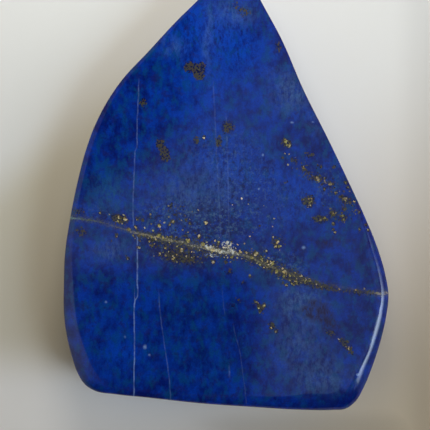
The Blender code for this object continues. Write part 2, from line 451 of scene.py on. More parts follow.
# Soft pale blue dots, in the form of the clouds, and a painted glint at the end of the window's streak
PALE_DOTS_AND_GLINT = [
    (303.5, 247.5, 3.2, 2.8, 0, 0.9),
    (259, 189, 2, 2, 0, 0.8),
    (263, 155, 2, 2, 0, 0.8),
    (145, 347, 3, 4, 0, 0.9),
    (149.5, 355, 2.4, 2.4, 0, 0.7),
    (106, 302, 2.4, 2.4, 0, 0.7),
    (292, 122.5, 3, 2, 0, 0.8),
    (313, 122, 2.4, 2, 0, 0.6),
    (206, 255, 2.2, 1.8, 0, 1.2),
    (217, 256, 3, 1.6, 0, 1.2),
    (171, 205, 2, 2, 0, 0.8),
    (125, 337, 2, 3, 0, 0.5),
    # a painted glint where the window's streak ends on the lower right bevel
    (358, 374.8, 1.8, 1.8, 0, 2.5),
]

# The vein, from left to right
VEIN_PX = [
    (60, 217), (72, 218), (95, 221), (120, 228), (137, 233), (160, 238), (180, 242), (200, 247), (215, 250),
    (245, 256), (262, 263), (290, 274), (310, 280), (330, 285), (352, 289), (372, 293), (386, 294),
    (400, 295),
]
# Half the vein's width in mm, at pixel columns
VEIN_HALF_WIDTHS = [
    (60, 0.36), (84, 0.34), (96, 0.2), (118, 0.22), (128, 0.3), (150, 0.36), (180, 0.36), (200, 0.36),
    (216, 0.6), (228, 0.6), (240, 0.42), (262, 0.36), (280, 0.36), (300, 0.4), (330, 0.45), (372, 0.45),
    (384, 0.45), (400, 0.4),
]
# How clearly it shows, at pixel columns
VEIN_STRENGTHS = [
    (60, 0.9), (90, 0.75), (118, 0.65), (138, 0.9), (200, 0.85), (220, 0.8), (262, 0.65), (285, 0.45),
    (310, 0.28), (335, 0.2), (366, 0.25), (380, 0.75), (400, 0.75),
]
RIM_WIDTH = 0.9  # of the altered rock on either side of the vein, in mm
RIM_STRENGTH = 0.6
# The vein's colour, at pixel columns
VEIN_COLOURS = [
    (72, (0.16, 0.30, 0.34)),
    (88, (0.10, 0.13, 0.07)),
    (118, (0.14, 0.13, 0.10)),
    (136, (0.31, 0.28, 0.22)),
    (180, (0.29, 0.27, 0.21)),
    (206, (0.38, 0.36, 0.28)),
    (224, (0.48, 0.49, 0.45)),
    (240, (0.26, 0.25, 0.20)),
    (262, (0.26, 0.23, 0.15)),
    (300, (0.11, 0.10, 0.06)),
    (366, (0.10, 0.08, 0.06)),
    (386, (0.34, 0.30, 0.30)),
]
# Thin pale fractures that run down the front: their places, half the width in mm, and strength
HAIRLINES = [
    ([(139, 78), (138.3, 97), (137.2, 123), (137, 145), (135, 153), (134.2, 173), (133.3, 193), (133, 213),
      (134.5, 228)], 0.13, 0.3),
    ([(134.5, 226), (137.3, 238), (137.3, 283), (137.7, 293), (135, 300), (134.2, 312), (134.5, 353),
      (134, 373), (134.3, 400)], 0.13, 0.7),
    ([(134.2, 284), (134.6, 296), (134.8, 304)], 0.1, 0.4),
    ([(158.6, 288), (159.2, 300), (160.7, 317), (163.3, 337), (166.7, 360), (169, 377), (171, 404)],
     0.12, 0.22),
    ([(233, 322), (235, 333), (240, 353), (243.3, 377), (247, 406)], 0.11, 0.13),
    ([(229.2, 364), (229.6, 378)], 0.16, 0.4),
    ([(222, 285), (223, 300), (225, 316)], 0.12, 0.12),
    ([(213, 78), (215, 117), (217, 160), (220, 217), (221, 240)], 0.14, 0.12),
    ([(226, 110), (227.6, 160), (228.5, 205), (229, 238)], 0.14, 0.13),
]

# What the front reflects from above: areas without light, in pixels of the front
DARK_REFLECTIONS_PX = [
    [(60, 268), (232, 268), (262, 284), (258, 395), (258, 900), (60, 900)],
    [(-300, -300), (203, -300), (203, 108), (165, 145), (130, 175), (75, 207), (-300, 207)],
    [(218, 24), (264, 22), (268, 48), (226, 88), (218, 85)],
]
REFLECTION_EDGE_PX = 5.0

# The room's light, as radiance
ROOM_DARK = (0.03, 0.027, 0.023)
ROOM_WARM = (0.30, 0.21, 0.05)
LEFT_WALL = (0.56, 0.61, 0.60)
RIGHT_CEILING = (0.45, 0.50, 0.60)
CEILING_PALE = (0.35, 0.41, 0.48)
CEILING_DARK = (0.02, 0.02, 0.02)
WINDOW_LIGHT = (7.6, 9.6, 11.8)
# Where its lit parts start and end, in degrees round from the right, or from the left for the left wall
ROOM_FADE = (-0.5, 0.25)  # of a direction's part along the slab
LEFT_WALL_SIDES = [(30, 5), (-50, -22)]
RIGHT_CEILING_SIDES = [(60, 30), (-60, -35)]
RIGHT_CEILING_END = (27, 24)  # degrees from straight up
WINDOW_SIDES = [(17, -14), (-33.4, -32.2)]
# The window's upper edge, as degrees from straight up at degrees round
WINDOW_EDGE = [
    (-36, 35), (-32, 33.5), (-28.5, 23.5), (-21, 21), (-10, 27.5), (0, 31), (5, 34), (10, 37), (20, 40),
]
# Below that edge, by a direction's upward part
WINDOW_BLUR = 0.025
WINDOW_FADE = (0.03, 0.32, 1.0, 0.03)
CEILING_EDGE = (0.24, 0.18)  # tangents from straight up
LEAST_HEIGHT = 0.05
# The soft lights: name, degrees round and up, distance and size in metres, radiance and colour
SOFT_LIGHTS = [
    ("lamp", 99, 47, 0.19, 0.08, 8.4, (1.0, 0.97, 0.88)),
    ("window_glow", -15, 32, 0.6, 0.3, 3.9, (0.95, 0.95, 1.0)),
]

FLOOR_GAP = 0.5  # how far the floor stops short of the slab's flat back, under its rounded edge
FLOOR_REACH = 3000.0
FLOOR_ROUGHNESS = 0.7
FLOOR_PALE = (0.77, 0.77, 0.77)
# Painted shade: the floor goes darker from the slab's tip to beyond its foot
FLOOR_PAINTED_SHADE_NEAR = (0.66, 0.63, 0.61)
PAINTED_SHADE_ALONG = (62.0, -75.0)  # from the slab's tip to beyond its foot
# Painted shade, warm and deep, in the floor's corner to the right of the foot
FLOOR_PAINTED_CORNER_SHADE = (0.53, 0.44, 0.32)
CORNER_SHADE_WAY = (0.75, 0.66)  # to the right and towards the foot
CORNER_SHADE_SPAN = (5.0, 90.0)
PAINTED_FLOOR_SHADOW = (0.83, 0.785, 0.67)  # times the floor's colour: a painted shadow to the left of the slab
SHADE_LINE = (0.8, 38.0)  # the rise and the height of a line along the slab's upper left edge
SHADE_EDGE = (26.0, 4.0)  # above that line
SHADE_FOOT = (-58.0, -40.0)
SHADE_SIDE = (-10.0, -35.0)
FLOOR_PAINTED_DIMMING = (0.05, 0.035, 0.02)  # painted shade, mixed in a little, far to the right and below the foot
DIM_RIGHT = (47.0, 58.0)
DIM_RIGHT_ALONG = (0.0, -70.0, 0.12, 0.34)
DIM_BELOW = (-62.0, -68.0)
DIM_BELOW_ACROSS = (-15.0, 5.0, 0.0, 0.2)
NO_TINT = (1.0, 1.0, 1.0)


def on_face(px, py):
    """The place on the slab's front, in mm, that the photograph shows at this pixel."""
    return (
        CAMERA_X + (px - PHOTO_CENTRE_PX) * FACE_MM_PER_PX,
        CAMERA_Y - (py - PHOTO_CENTRE_PX) * FACE_MM_PER_PX,
    )


def edge_direction(before, here, after):
    behind = (here - before).xy.length
    ahead = (after - here).xy.length
    return ((here - before) * (ahead / behind) + (after - here) * (behind / ahead)) / (behind + ahead)


def row_between(start, leaving, end, arriving, share):
    span = (end - start).xy.length
    return (
        start * (2 * share**3 - 3 * share**2 + 1)
        + leaving * span * (share**3 - 2 * share**2 + share)
        + end * (3 * share**2 - 2 * share**3)
        + arriving * span * (share**3 - share**2)
    )


def outline_stations():
    """Closely spaced rows of x, y, bevel and lean, on a smooth curve through the
    outline. They are shifted so that the origin is in the middle of their box."""
    rows = [Vector((x, y, bevel, math.radians(lean))) for x, y, bevel, lean in OUTLINE]
    count = len(rows)
    directions = [edge_direction(rows[i - 1], rows[i], rows[(i + 1) % count]) for i in range(count)]
    stations = []
    for i in range(count):
        after = (i + 1) % count
        for step in range(STATIONS_PER_SPAN):
            share = step / STATIONS_PER_SPAN
            stations.append(row_between(rows[i], directions[i], rows[after], directions[after], share))
    middle_x = (min(row.x for row in stations) + max(row.x for row in stations)) / 2
    middle_y = (min(row.y for row in stations) + max(row.y for row in stations)) / 2
    return [row - Vector((middle_x, middle_y, 0, 0)) for row in stations]


def way_to_spine(place):
    """The direction in plan from a place to the nearest point of the spine."""
    spine = SPINE_FOOT - SPINE_TOP
    share = min(1.0, max(0.0, (place - SPINE_TOP).dot(spine) / spine.length_squared))
    return (SPINE_TOP + spine * share - place).normalized()


def inward_moves(stations):
    """For each station, the move in plan that takes the wall in by one unit.

    It points at the spine, so sections never cross, and it is longer where the wall is slanted to that
    direction. The lengths are evened out along the edge, which keeps the corners round."""
    ways = [way_to_spine(here.xy) for here in stations]
    reaches = []
    for i, way in enumerate(ways):
        along = (stations[(i + 1) % len(stations)] - stations[i - 1]).xy.normalized()
        inward = Vector((along.y, -along.x))
        reaches.append(1 / inward.dot(way))
    moves = []
    for here, way in zip(stations, ways):
        weights = [max(0.0, 1 - (other - here).xy.length / CORNER_REACH) for other in stations]
        reach = sum(weight * value for weight, value in zip(weights, reaches)) / sum(weights)
        moves.append(way * reach)
    return moves


def add_arc(section, radius, start, end, steps):
    """Carries a section on round an arc. Its angles are the section's fall below outwards and level."""
    inset, height = section[-1]
    for step in range(1, steps + 1):
        fall = start + (end - start) * step / steps
        out = radius * (math.sin(fall) - math.sin(start))
        down = radius * (math.cos(start) - math.cos(fall))
        section.append((inset - out, height - down))


def roll_at(y):
    """How many times larger the bevel's radii are here, if the bevel is wide enough."""
    share = min(1.0, max(0.0, (ROLL_START - y) / (ROLL_START - ROLL_END)))
    return 1 + (GENTLE_ROLL - 1) * (3 * share**2 - 2 * share**3)


def edge_section(y, bevel, lean):
    """Pairs of inset and height down the stone's edge, from the front's border to the back's border."""
    girdle_width = GIRDLE_RADIUS * (1 - math.sin(BEVEL_END))
    inner_width = INNER_BEVEL_RADIUS * (math.sin(BEVEL_TURN) - math.sin(SHOULDER_SLOPE))
    outer_width = OUTER_BEVEL_RADIUS * (math.sin(BEVEL_END) - math.sin(BEVEL_TURN))
    room = bevel * (1 - MIN_SHOULDER_SHARE) - girdle_width
    roll = min(roll_at(y), room / (inner_width + outer_width))
    shoulder = bevel - girdle_width - roll * (inner_width + outer_width)
    blend = shoulder * SHOULDER_BLEND_SHARE
    section = [(bevel, THICKNESS)]
    add_arc(section, blend / math.sin(SHOULDER_SLOPE), 0.0, SHOULDER_SLOPE, BLEND_STEPS)
    inset, height = section[-1]
    slope_width = shoulder - blend
    for step in range(1, SLOPE_STEPS + 1):
        out = slope_width * step / SLOPE_STEPS
        section.append((inset - out, height - out * math.tan(SHOULDER_SLOPE)))
    add_arc(section, roll * INNER_BEVEL_RADIUS, SHOULDER_SLOPE, BEVEL_TURN, INNER_BEVEL_STEPS)
    add_arc(section, roll * OUTER_BEVEL_RADIUS, BEVEL_TURN, BEVEL_END, OUTER_BEVEL_STEPS)
    add_arc(section, GIRDLE_RADIUS, BEVEL_END, UPRIGHT, GIRDLE_STEPS)
    wall_height = section[-1][1] - BACK_EDGE_RADIUS * (1 - math.sin(2 * lean))
    foot_fall = UPRIGHT + 2 * lean
    add_arc(section, wall_height / math.sin(2 * lean), UPRIGHT, foot_fall, WALL_STEPS)
    add_arc(section, BACK_EDGE_RADIUS, foot_fall, INWARDS, BACK_STEPS)
    return section


def polish_wave(place):
    """How far the hand-polished front lies below its highest level at this place."""
    wave = noise.noise(Vector((place.x, place.y, 0.0)) / WAVE_LENGTH)
    return WAVE_DEPTH * (0.5 - 0.5 * wave)


def stone_point(place, height):
    """The point in metres, with the front's undulation taken off in proportion to the height."""
    level = height - polish_wave(place) * height / THICKNESS
    return Vector((place.x * SHRINK, place.y * SHRINK, level)) * MM


def placed(name, data):
    """A new object in the scene."""
    item = bpy.data.objects.new(name, data)
    bpy.context.scene.collection.objects.link(item)
    return item


def make_stone():
    """The stone as a closed loft, with rings of faces across its front and its back."""
    stations = outline_stations()
    moves = inward_moves(stations)
    form = bmesh.new()
    columns = []
    for station, move in zip(stations, moves):
        section = edge_section(station.y, station.z, station.w)
        edge = [(station.xy + move * inset, height) for inset, height in section]
        border, foot = edge[0][0], edge[-1][0]
        hold = HOLD_WIDTH / (border - HEART).length
        front = [(HEART.lerp(border, ring / FACE_RINGS), THICKNESS) for ring in range(1, FACE_RINGS)]
        front.append((border.lerp(HEART, hold), THICKNESS))
        back = [(HEART.lerp(foot, ring / FACE_RINGS), 0.0) for ring in range(FACE_RINGS - 1, 0, -1)]
        columns.append([form.verts.new(stone_point(place, height)) for place, height in front + edge + back])
    front_heart = form.verts.new(stone_point(HEART, THICKNESS))
    back_heart = form.verts.new(stone_point(HEART, 0.0))
    for left, right in zip(columns, columns[1:] + columns[:1]):
        form.faces.new((front_heart, right[0], left[0]))
        form.faces.new((back_heart, left[-1], right[-1]))
        for level in range(len(left) - 1):
            form.faces.new((left[level], right[level], right[level + 1], left[level + 1]))
    bmesh.ops.recalc_face_normals(form, faces=form.faces)
    mesh = bpy.data.meshes.new("stone")
    form.to_mesh(mesh)
    form.free()
    mesh.shade_smooth()
    return placed("stone", mesh)


class Graph:
    """Adds shader nodes to one tree. Each method gives back the socket that holds its result."""

    def __init__(self, tree):
        self.tree = tree

    def add(self, kind, **settings):
        node = self.tree.nodes.new(kind)
        for name, value in settings.items():
            setattr(node, name, value)
        return node

    def feed(self, socket, value):
        if isinstance(value, bpy.types.NodeSocket):
            self.tree.links.new(value, socket)
        else:
            socket.default_value = value

    def feed_all(self, sockets, values):
        for socket, value in zip(sockets, values):
            self.feed(socket, value)

    def math(self, operation, *values):
        node = self.add("ShaderNodeMath", operation=operation)
        self.feed_all(node.inputs, values)
        return node.outputs["Value"]

    def times(self, product, *factors):
        for factor in factors:
            product = self.math("MULTIPLY", product, factor)
        return product

    def vector(self, operation, *values):
        node = self.add("ShaderNodeVectorMath", operation=operation)
        self.feed_all(node.inputs, values)
        one_number = operation in ("DISTANCE", "DOT_PRODUCT", "LENGTH")
        return node.outputs["Value" if one_number else "Vector"]

    def parts_of(self, vector):
        node = self.add("ShaderNodeSeparateXYZ")
        self.feed(node.inputs["Vector"], vector)
        return node.outputs["X"], node.outputs["Y"], node.outputs["Z"]

    def from_parts(self, x, y, z):
        node = self.add("ShaderNodeCombineXYZ")
        self.feed_all(node.inputs, (x, y, z))
        return node.outputs["Vector"]

    def ramp(self, value, start, end, low=0.0, high=1.0):
        """Goes smoothly from low to high as the value goes from start to end, in either direction."""
        node = self.add("ShaderNodeMapRange", interpolation_type="SMOOTHSTEP")
        self.feed_all(node.inputs, (value, start, end, low, high))
        return node.outputs["Result"]

    def noise_node(self, place, size, detail, roughness):
        node = self.add("ShaderNodeTexNoise")
        self.feed(node.inputs["Vector"], place)
        node.inputs["Scale"].default_value = 1 / size
        node.inputs["Detail"].default_value = detail
        node.inputs["Roughness"].default_value = roughness
        return node

    def noise(self, place, size, detail, roughness):
        return self.noise_node(place, size, detail, roughness).outputs["Fac"]

    def patches(self, place, noise, fade):
        return self.ramp(self.noise(place, *noise), *fade)

    def wander(self, place, size, detail):
        """A random vector with parts of up to about one half either way."""
        colour = self.noise_node(place, size, detail, 0.5).outputs["Color"]
        return self.vector("SUBTRACT", colour, (0.5, 0.5, 0.5))

    def jittered(self, place, size, reach, detail):
        """The place, moved at random by up to about this reach."""
        return self.vector("MULTIPLY_ADD", self.wander(place, size, detail), (2 * reach,) * 3, place)

    def cells(self, place, size):
        """The distance in mm to the middle of a random cell, three random numbers of it, and its middle."""
        node = self.add("ShaderNodeTexVoronoi", feature="F1")
        self.feed(node.inputs["Vector"], place)
        node.inputs["Scale"].default_value = 1 / size
        distance = self.math("MULTIPLY", node.outputs["Distance"], size)
        return distance, self.parts_of(node.outputs["Color"]), node.outputs["Position"]

    def mix(self, share, first, second):
        node = self.add("ShaderNodeMix", data_type="RGBA", clamp_factor=True)
        self.feed(node.inputs[0], share)
        for socket, value in zip((node.inputs[6], node.inputs[7]), (first, second)):
            self.feed(socket, value if isinstance(value, bpy.types.NodeSocket) else (*value, 1.0))
        return node.outputs[2]

    def mix_number(self, share, first, second):
        node = self.add("ShaderNodeMix", data_type="FLOAT", clamp_factor=True)
        self.feed_all((node.inputs[0], node.inputs[2], node.inputs[3]), (share, first, second))
        return node.outputs[0]

    def curve(self, value, points):
        """A smooth curve through pairs of numbers. Beyond its ends it stays level."""
        node = self.add("ShaderNodeFloatCurve")
        starts = [start for start, result in points]
        results = [result for start, result in points]
        first, span = starts[0], starts[-1] - starts[0]
        lowest, rise = min(results), max(results) - min(results)
        line = node.mapping.curves[0]
        while len(line.points) < len(points):
            line.points.new(0.5, 0.5)
        for point, start, result in zip(line.points, starts, results):
            point.location = ((start - first) / span, (result - lowest) / rise)
        node.mapping.update()
        share = self.add("ShaderNodeMath", operation="MULTIPLY_ADD", use_clamp=True)
        self.feed_all(share.inputs, (value, 1 / span, -first / span))
        self.feed(node.inputs["Value"], share.outputs["Value"])
        return self.math("MULTIPLY_ADD", node.outputs["Value"], rise, lowest)

    def colours_along(self, value, stops):
        """A colour that changes through pairs of a number and a colour."""
        node = self.add("ShaderNodeValToRGB")
        first, span = stops[0][0], stops[-1][0] - stops[0][0]
        elements = node.color_ramp.elements
        while len(elements) < len(stops):
            elements.new(1.0)
        for element, (start, colour) in zip(elements, stops):
            element.position = (start - first) / span
            element.color = (*colour, 1.0)
        self.feed(node.inputs["Fac"], self.math("MULTIPLY_ADD", value, 1 / span, -first / span))
        return node.outputs["Color"]

    def spots(self, place, rows):
        """The strengths of elliptical spots of the photograph, each falling off from its middle, added up.

        A row is the middle's two pixel coordinates, half the width and height in pixels, an anticlockwise
        turn in degrees and a strength."""
        total = 0.0
        for px, py, half_width, half_height, turn, strength in rows:
            node = self.add("ShaderNodeMapping", vector_type="TEXTURE")
            self.feed(node.inputs["Vector"], place)
            node.inputs["Location"].default_value = (*on_face(px, py), THICKNESS)
            node.inputs["Rotation"].default_value = (0.0, 0.0, math.radians(turn))
            width, height = half_width * FACE_MM_PER_PX, half_height * FACE_MM_PER_PX
            node.inputs["Scale"].default_value = (width, height, SPOT_DEPTH)
            ball = self.add("ShaderNodeTexGradient", gradient_type="SPHERICAL")
            self.feed(ball.inputs["Vector"], node.outputs["Vector"])
            total = self.math("MULTIPLY_ADD", ball.outputs["Fac"], strength, total)
        return total

    def nearest(self, place, centres_px):
        """The distance in mm to the nearest of these places on the front."""
        least = LONG_WAY
        for px, py in centres_px:
            least = self.math("MINIMUM", least, self.vector("DISTANCE", place, (*on_face(px, py), 0.0)))
        return least

    def inside(self, across, up, corners, softness):
        """1 inside a convex polygon, given by its corners in clockwise order as seen, and 0 outside it."""
        least = LONG_WAY
        for start, end in zip(corners, corners[1:] + corners[:1]):
            along = (Vector(end) - Vector(start)).normalized()
            inward = Vector((along.y, -along.x))
            share = self.math("MULTIPLY_ADD", across, inward.x, -inward.dot(Vector(start)))
            least = self.math("MINIMUM", least, self.math("MULTIPLY_ADD", up, inward.y, share))
        return self.ramp(least, -softness, softness)


def place_in_stone(graph):
    """The place in mm, in the part's own frame."""
    return graph.vector("MULTIPLY", graph.add("ShaderNodeTexCoord").outputs["Object"], (1 / MM,) * 3)


def place_on_front(graph, place):
    """The place on the front whose markings carry on through the stone to this place."""
    depth = graph.math("SUBTRACT", THICKNESS, graph.parts_of(place)[2])
    wander = graph.wander(place, WANDER_LENGTH, 1)
    spread = (2 * DEPTH_WANDER, 2 * DEPTH_WANDER, 0.0)
    drift = graph.vector("MULTIPLY_ADD", wander, spread, (SLANT_X, SLANT_Y, 0.0))
    reach = graph.add("ShaderNodeVectorMath", operation="SCALE")
    graph.feed(reach.inputs["Vector"], drift)
    graph.feed(reach.inputs["Scale"], depth)
    return graph.vector("ADD", place, reach.outputs["Vector"])


def below_front(graph, place):
    """0 on the front, and growing to 1 down in the stone."""
    return graph.ramp(graph.parts_of(place)[2], *BELOW_FRONT)


def blue_ground(graph, place, front):
    """The blue itself: mottled at several sizes, drawn out along the slab, and granular in patches."""
    fibres = graph.noise(graph.vector("MULTIPLY", place, FIBRE_SQUEEZE), *FIBRE_NOISE)
    mottle = graph.noise(place, *MOTTLE_NOISE)
    broad = graph.noise(place, *BROAD_NOISE)
    tone = graph.math("MULTIPLY_ADD", mottle, MOTTLE_WEIGHT, graph.times(fibres, FIBRE_WEIGHT))
    tone = graph.math("MULTIPLY_ADD", broad, BROAD_WEIGHT, tone)
    granular = graph.ramp(graph.spots(graph.jittered(front, *PATCH_WANDER), GRANULAR_PATCHES), *GRANULAR_FADE)
    granules = graph.math("SUBTRACT", graph.noise(place, *GRANULE_NOISE), 0.5)
    weight = graph.math("MULTIPLY_ADD", granular, GRANULAR_WEIGHT, GRANULE_WEIGHT)
    tone = graph.math("MULTIPLY_ADD", granules, weight, tone)
    colour = graph.mix(graph.ramp(tone, *BLUE_TONES), DEEP_BLUE, BRIGHT_BLUE)
    teal = graph.patches(graph.vector("MULTIPLY", place, TEAL_SQUEEZE), *TEAL_PATCHES)
    violet = graph.patches(graph.vector("ADD", place, VIOLET_SHIFT), *VIOLET_PATCHES)
    colour = graph.mix(violet, graph.mix(teal, colour, TEAL_VEIL), VIOLET_VEIL)
    specks = graph.noise(graph.vector("ADD", place, SPECK_SHIFT), *SPECK_NOISE)
    pale = graph.times(graph.ramp(specks, *PALE_SPECK_FADE), granular)
    dark = graph.times(graph.ramp(specks, *DARK_SPECK_FADE), granular)
    return graph.mix(dark, graph.mix(pale, colour, GREY_TEAL), INK_BLUE)


def clouded(graph, colour, place, front):
    """Adds the front's clouds and those of the inner stone, broken up by the stone's grain."""
    soft = graph.jittered(front, *CLOUD_WANDER)
    broken = graph.patches(graph.vector("MULTIPLY", place, CLOUD_SQUEEZE), *CLOUD_BREAKS)
    for rows, tint, most in CLOUD_LAYERS:
        amount = graph.times(graph.ramp(graph.spots(soft, rows), 0.0, CLOUD_FULL, 0.0, most), broken)
        colour = graph.mix(amount, colour, tint)
    inner = graph.times(graph.patches(place, *INNER_CLOUDS), below_front(graph, place), broken)
    return graph.mix(inner, colour, PALE_BLUE)


def with_hairlines(graph, colour, front, place):
    """Adds the thin pale fractures, which run down the front and on over its edge."""
    across, up, _ = graph.parts_of(graph.jittered(front, *HAIRLINE_WANDER))
    breaks = graph.patches(place, *HAIRLINE_BREAKS)
    for places_px, half_width, strength in HAIRLINES:
        places = sorted((on_face(px, py) for px, py in places_px), key=lambda spot: spot[1])
        line = graph.curve(up, [(y, x) for x, y in places])
        distance = graph.math("ABSOLUTE", graph.math("SUBTRACT", across, line))
        seen = graph.ramp(distance, *(share * half_width for share in HAIRLINE_EDGE))
        foot = graph.ramp(up, *(places[0][1] + way for way in HAIRLINE_FOOT))
        head = graph.ramp(up, *(places[-1][1] + way for way in HAIRLINE_HEAD))
        colour = graph.mix(graph.times(seen, foot, head, breaks, strength), colour, HAIRLINE_DOT_AND_GLINT_BLUE)
    return colour


def vein_distance(graph, front):
    """The signed distance in mm above the vein's middle line, and the pixel column of the place."""
    across, up, _ = graph.parts_of(front)
    origin_column = PHOTO_CENTRE_PX - CAMERA_X / FACE_MM_PER_PX
    column = graph.math("MULTIPLY_ADD", across, 1 / FACE_MM_PER_PX, origin_column)
    line = graph.curve(column, [(px, on_face(px, py)[1]) for px, py in VEIN_PX])
    return graph.math("SUBTRACT", up, line), column


def with_vein(graph, colour, front, place):
    """Adds the vein of calcite and altered rock that crosses the stone, and tells where it is."""
    distance, column = vein_distance(graph, graph.jittered(front, *VEIN_WANDER))
    away = graph.math("ABSOLUTE", distance)
    half_width = graph.curve(column, VEIN_HALF_WIDTHS)
    strength = graph.curve(column, VEIN_STRENGTHS)
    grain = graph.noise(place, *VEIN_GRAIN_NOISE)
    beside = graph.ramp(graph.math("DIVIDE", away, graph.math("ADD", half_width, RIM_WIDTH)), *RIM_EDGE)
    rim = graph.times(beside, RIM_STRENGTH, graph.ramp(grain, *RIM_BREAKS), strength)
    colour = graph.mix(rim, colour, graph.mix(graph.ramp(grain, *RIM_TINTS), OLIVE, RIM_GREY))
    within = graph.ramp(graph.math("DIVIDE", away, half_width), *CORE_EDGE)
    core = graph.times(within, strength, graph.patches(place, *CORE_BREAKS))
    tint = graph.colours_along(column, VEIN_COLOURS)
    shaded = graph.mix(graph.ramp(grain, *CORE_SHADE), tint, OLIVE)
    return graph.mix(core, colour, shaded), graph.math("MAXIMUM", core, rim)


def with_calcite(graph, colour, front, place):
    """Frosts the stone with white and cream calcite, at the vein's brightest stretch."""
    white = graph.spots(graph.jittered(front, *CALCITE_WANDER), CALCITE_PATCHES)
    over = graph.math("SUBTRACT", white, graph.patches(place, *FROST))
    tint = graph.mix(graph.patches(place, *CREAM_PATCHES), CREAM, CALCITE)
    return graph.mix(graph.ramp(over, *CALCITE_FADE), colour, tint)


def with_stains(graph, colour, stained, limit, kind):
    """Adds dark crumbs of altered rock, common where the stone is stained."""
    colour = graph.mix(graph.ramp(stained, *STAIN_FADE), colour, MIDNIGHT)
    over = graph.math("SUBTRACT", stained, graph.math("MULTIPLY_ADD", limit, *DARK_CRUMB_LIMITS))
    return graph.mix(graph.ramp(over, *DARK_CRUMB_FADE), colour, graph.colours_along(kind, CRUMB_COLOURS))


def pyrite_chance(graph, front, place):
    """How likely a grain of pyrite is here."""
    inner = graph.patches(place, *INNER_SWARMS)
    return graph.math("MULTIPLY_ADD", inner, below_front(graph, place), graph.spots(front, PYRITE_SWARMS))


def loose_pyrite(graph, place):
    """Grains of pyrite at random places, common where the swarms are, and their own random number."""
    rough = graph.jittered(place, *LOOSE_WANDER)
    distance, (chance, width, tone), middle = graph.cells(rough, LOOSE_SPACING)
    wanted = graph.math("LESS_THAN", chance, pyrite_chance(graph, place_on_front(graph, middle), middle))
    least, most = LOOSE_RADII
    radius = graph.math("MULTIPLY_ADD", width, most - least, least)
    seen = graph.ramp(graph.math("SUBTRACT", distance, radius), LOOSE_BLUR, -LOOSE_BLUR)
    return graph.times(seen, wanted), tone


def way_from_grain(graph, front, place):
    """How far outside the nearest of the grains that stand out this place is, in mm."""
    x, y, _ = graph.parts_of(front)
    rise = graph.math("SUBTRACT", graph.parts_of(place)[2], THICKNESS)
    flat = graph.from_parts(x, y, graph.times(rise, GRAIN_STRETCH))
    least = LONG_WAY
    for centres_px, radius in GRAINS:
        outside = graph.math("SUBTRACT", graph.nearest(flat, centres_px), radius)
        least = graph.math("MINIMUM", least, outside)
    return least


def pyrite_colour(graph, front, grains, limit, kind, tone):
    """Gold in several shades, often dull in the small crumbs, and duller on the slab's right side."""
    metal = graph.mix(graph.ramp(kind, *PALE_METAL_FADE), GOLD, PALE_GOLD)
    metal = graph.mix(graph.ramp(tone, *GREEN_METAL_FADE), metal, GREEN_GOLD)
    sheen = graph.mix_number(grains, graph.ramp(limit, *CRUMB_SHEEN), graph.ramp(limit, *GRAIN_SHEEN))
    sheen = graph.times(sheen, graph.ramp(graph.parts_of(front)[0], *SIDE_SHEEN))
    return graph.vector("MULTIPLY", metal, sheen)


def new_material(name):
    """A material, the graph of its nodes, and its shader."""
    material = bpy.data.materials.new(name)
    material.use_nodes = True
    return material, Graph(material.node_tree), material.node_tree.nodes["Principled BSDF"]


def make_lapis():
    """Polished lapis lazuli: the blue with its clouds, fractures, vein and stains, and metallic pyrite."""
    material, graph, shader = new_material("lapis")
    place = place_in_stone(graph)
    front = place_on_front(graph, place)
    colour = blue_ground(graph, place, front)
    colour = clouded(graph, colour, place, front)
    # Pale blue dots, and a painted glint on the lower right bevel
    dots = graph.spots(graph.jittered(front, *DOT_WANDER), PALE_DOTS_AND_GLINT)
    colour = graph.mix(graph.ramp(dots, *DOT_FADE), colour, HAIRLINE_DOT_AND_GLINT_BLUE)
    colour = with_hairlines(graph, colour, front, place)
    colour = graph.vector("MULTIPLY", colour, graph.patches(place, *SPECKLE))
    _, (luck, limit, kind), middle = graph.cells(graph.jittered(place, *CRUMB_WANDER), CRUMB_SIZE)
    crumb_front = place_on_front(graph, middle)
    swarm = pyrite_chance(graph, crumb_front, middle)
    outside = way_from_grain(graph, crumb_front, middle)
    halo = graph.ramp(outside, HALO_WIDTH, 0.0, 0.0, HALO_STRENGTH)
    stained = graph.math("MULTIPLY_ADD", swarm, SWARM_STAIN, graph.spots(crumb_front, DARK_SPOTS))
    colour = with_stains(graph, colour, graph.math("MAXIMUM", stained, halo), limit, kind)
    colour, vein = with_vein(graph, colour, front, place)
    colour = with_calcite(graph, colour, front, place)
    ragged = graph.math("MULTIPLY_ADD", luck, 2 * GRAIN_RAGGEDNESS, -GRAIN_RAGGEDNESS)
    grains = graph.math("LESS_THAN", outside, ragged)
    crumbs = graph.math("LESS_THAN", luck, graph.times(swarm, CRUMBS_OF_PYRITE))
    loose, tone = loose_pyrite(graph, place)
    pyrite = graph.math("MAXIMUM", grains, graph.math("MAXIMUM", loose, crumbs))
    metal = pyrite_colour(graph, front, grains, limit, kind, tone)
    graph.feed(shader.inputs["Base Color"], graph.mix(pyrite, colour, metal))
    graph.feed(shader.inputs["Metallic"], graph.times(pyrite, PYRITE_METALLIC))
    polish = graph.mix_number(vein, STONE_ROUGHNESS, VEIN_ROUGHNESS)
    graph.feed(shader.inputs["Roughness"], graph.mix_number(pyrite, polish, PYRITE_ROUGHNESS))
    shader.inputs["IOR"].default_value = STONE_IOR
    return material


